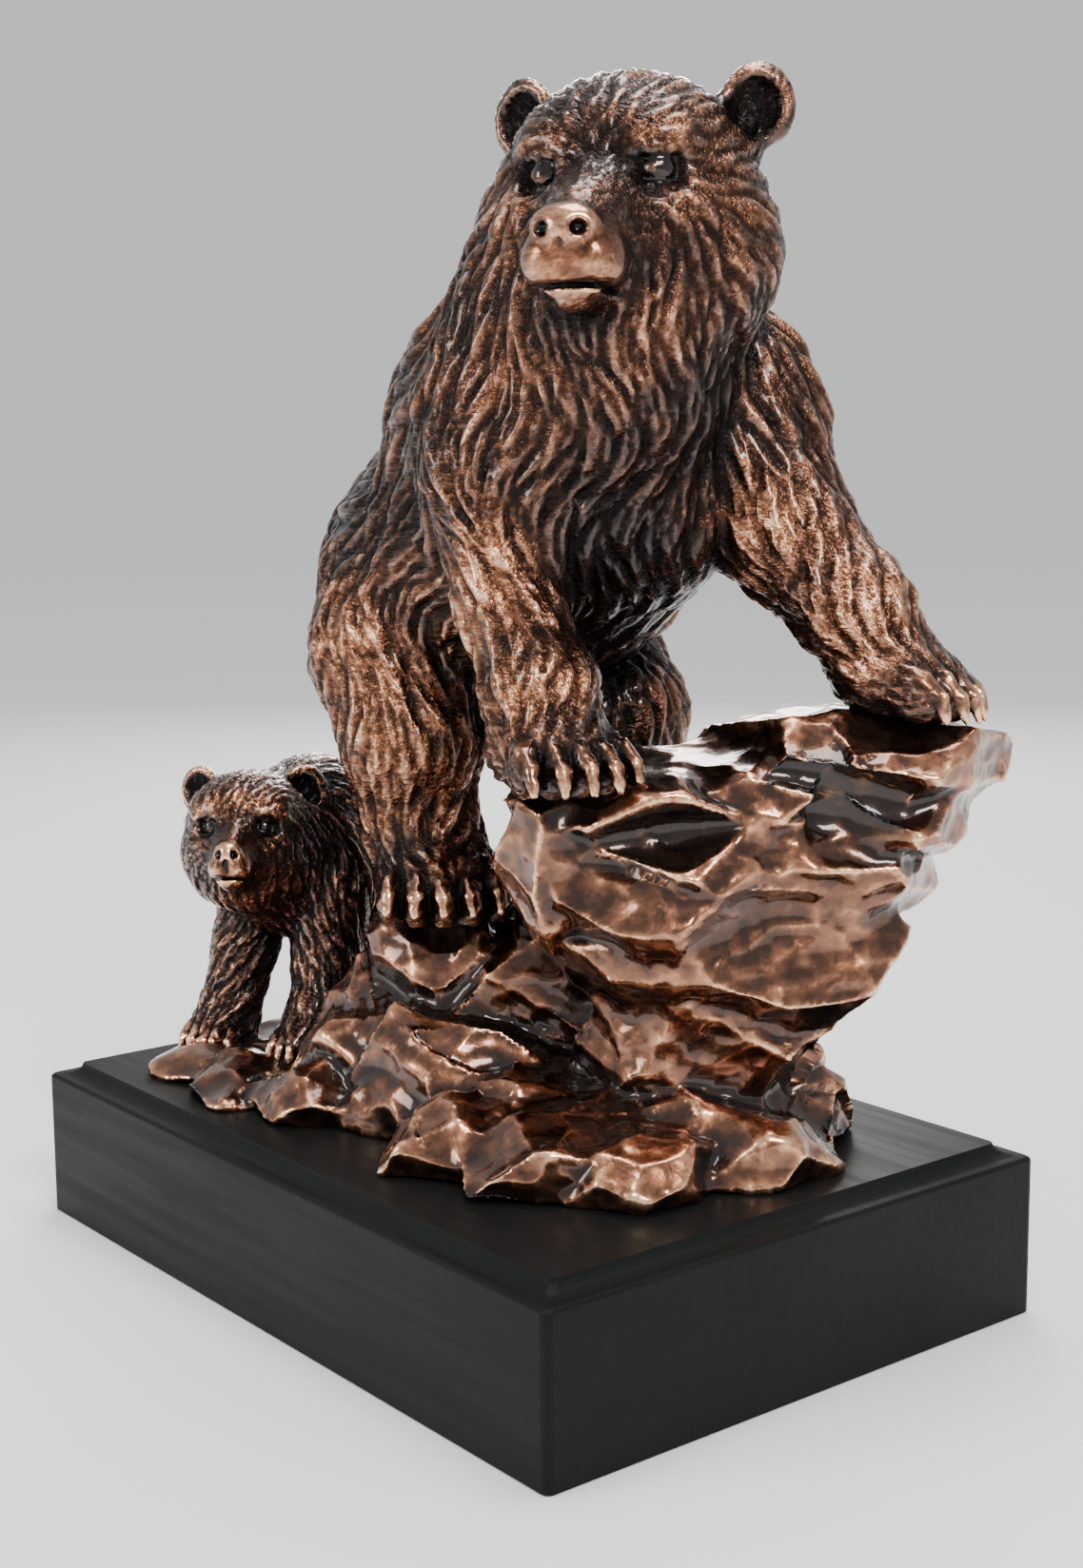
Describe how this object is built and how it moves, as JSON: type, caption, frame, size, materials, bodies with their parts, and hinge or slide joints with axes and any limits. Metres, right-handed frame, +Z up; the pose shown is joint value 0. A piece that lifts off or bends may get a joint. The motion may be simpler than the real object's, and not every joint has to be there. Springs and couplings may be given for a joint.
{
  "type": "bear statue",
  "caption": "Copper-finished statue of a mother bear climbing a rock beside her cub, on a black lacquered wooden plinth.",
  "frame": {"origin": "centre of the plinth's underside", "axes": "+Z up; +X along the plinth's length, the way the mother bear walks; -Y the front, where she turns her head"},
  "size_m": [0.2555, 0.1752, 0.3397],
  "materials": {
    "copper_finish": "rubbed copper over dark brown patina, satin with lacquer glints",
    "black_lacquer": "semi-gloss black lacquer"
  },
  "bodies": {
    "root": {"plinth": "black_lacquer", "bear_casting": "copper_finish"}
  },
  "joints": []
}
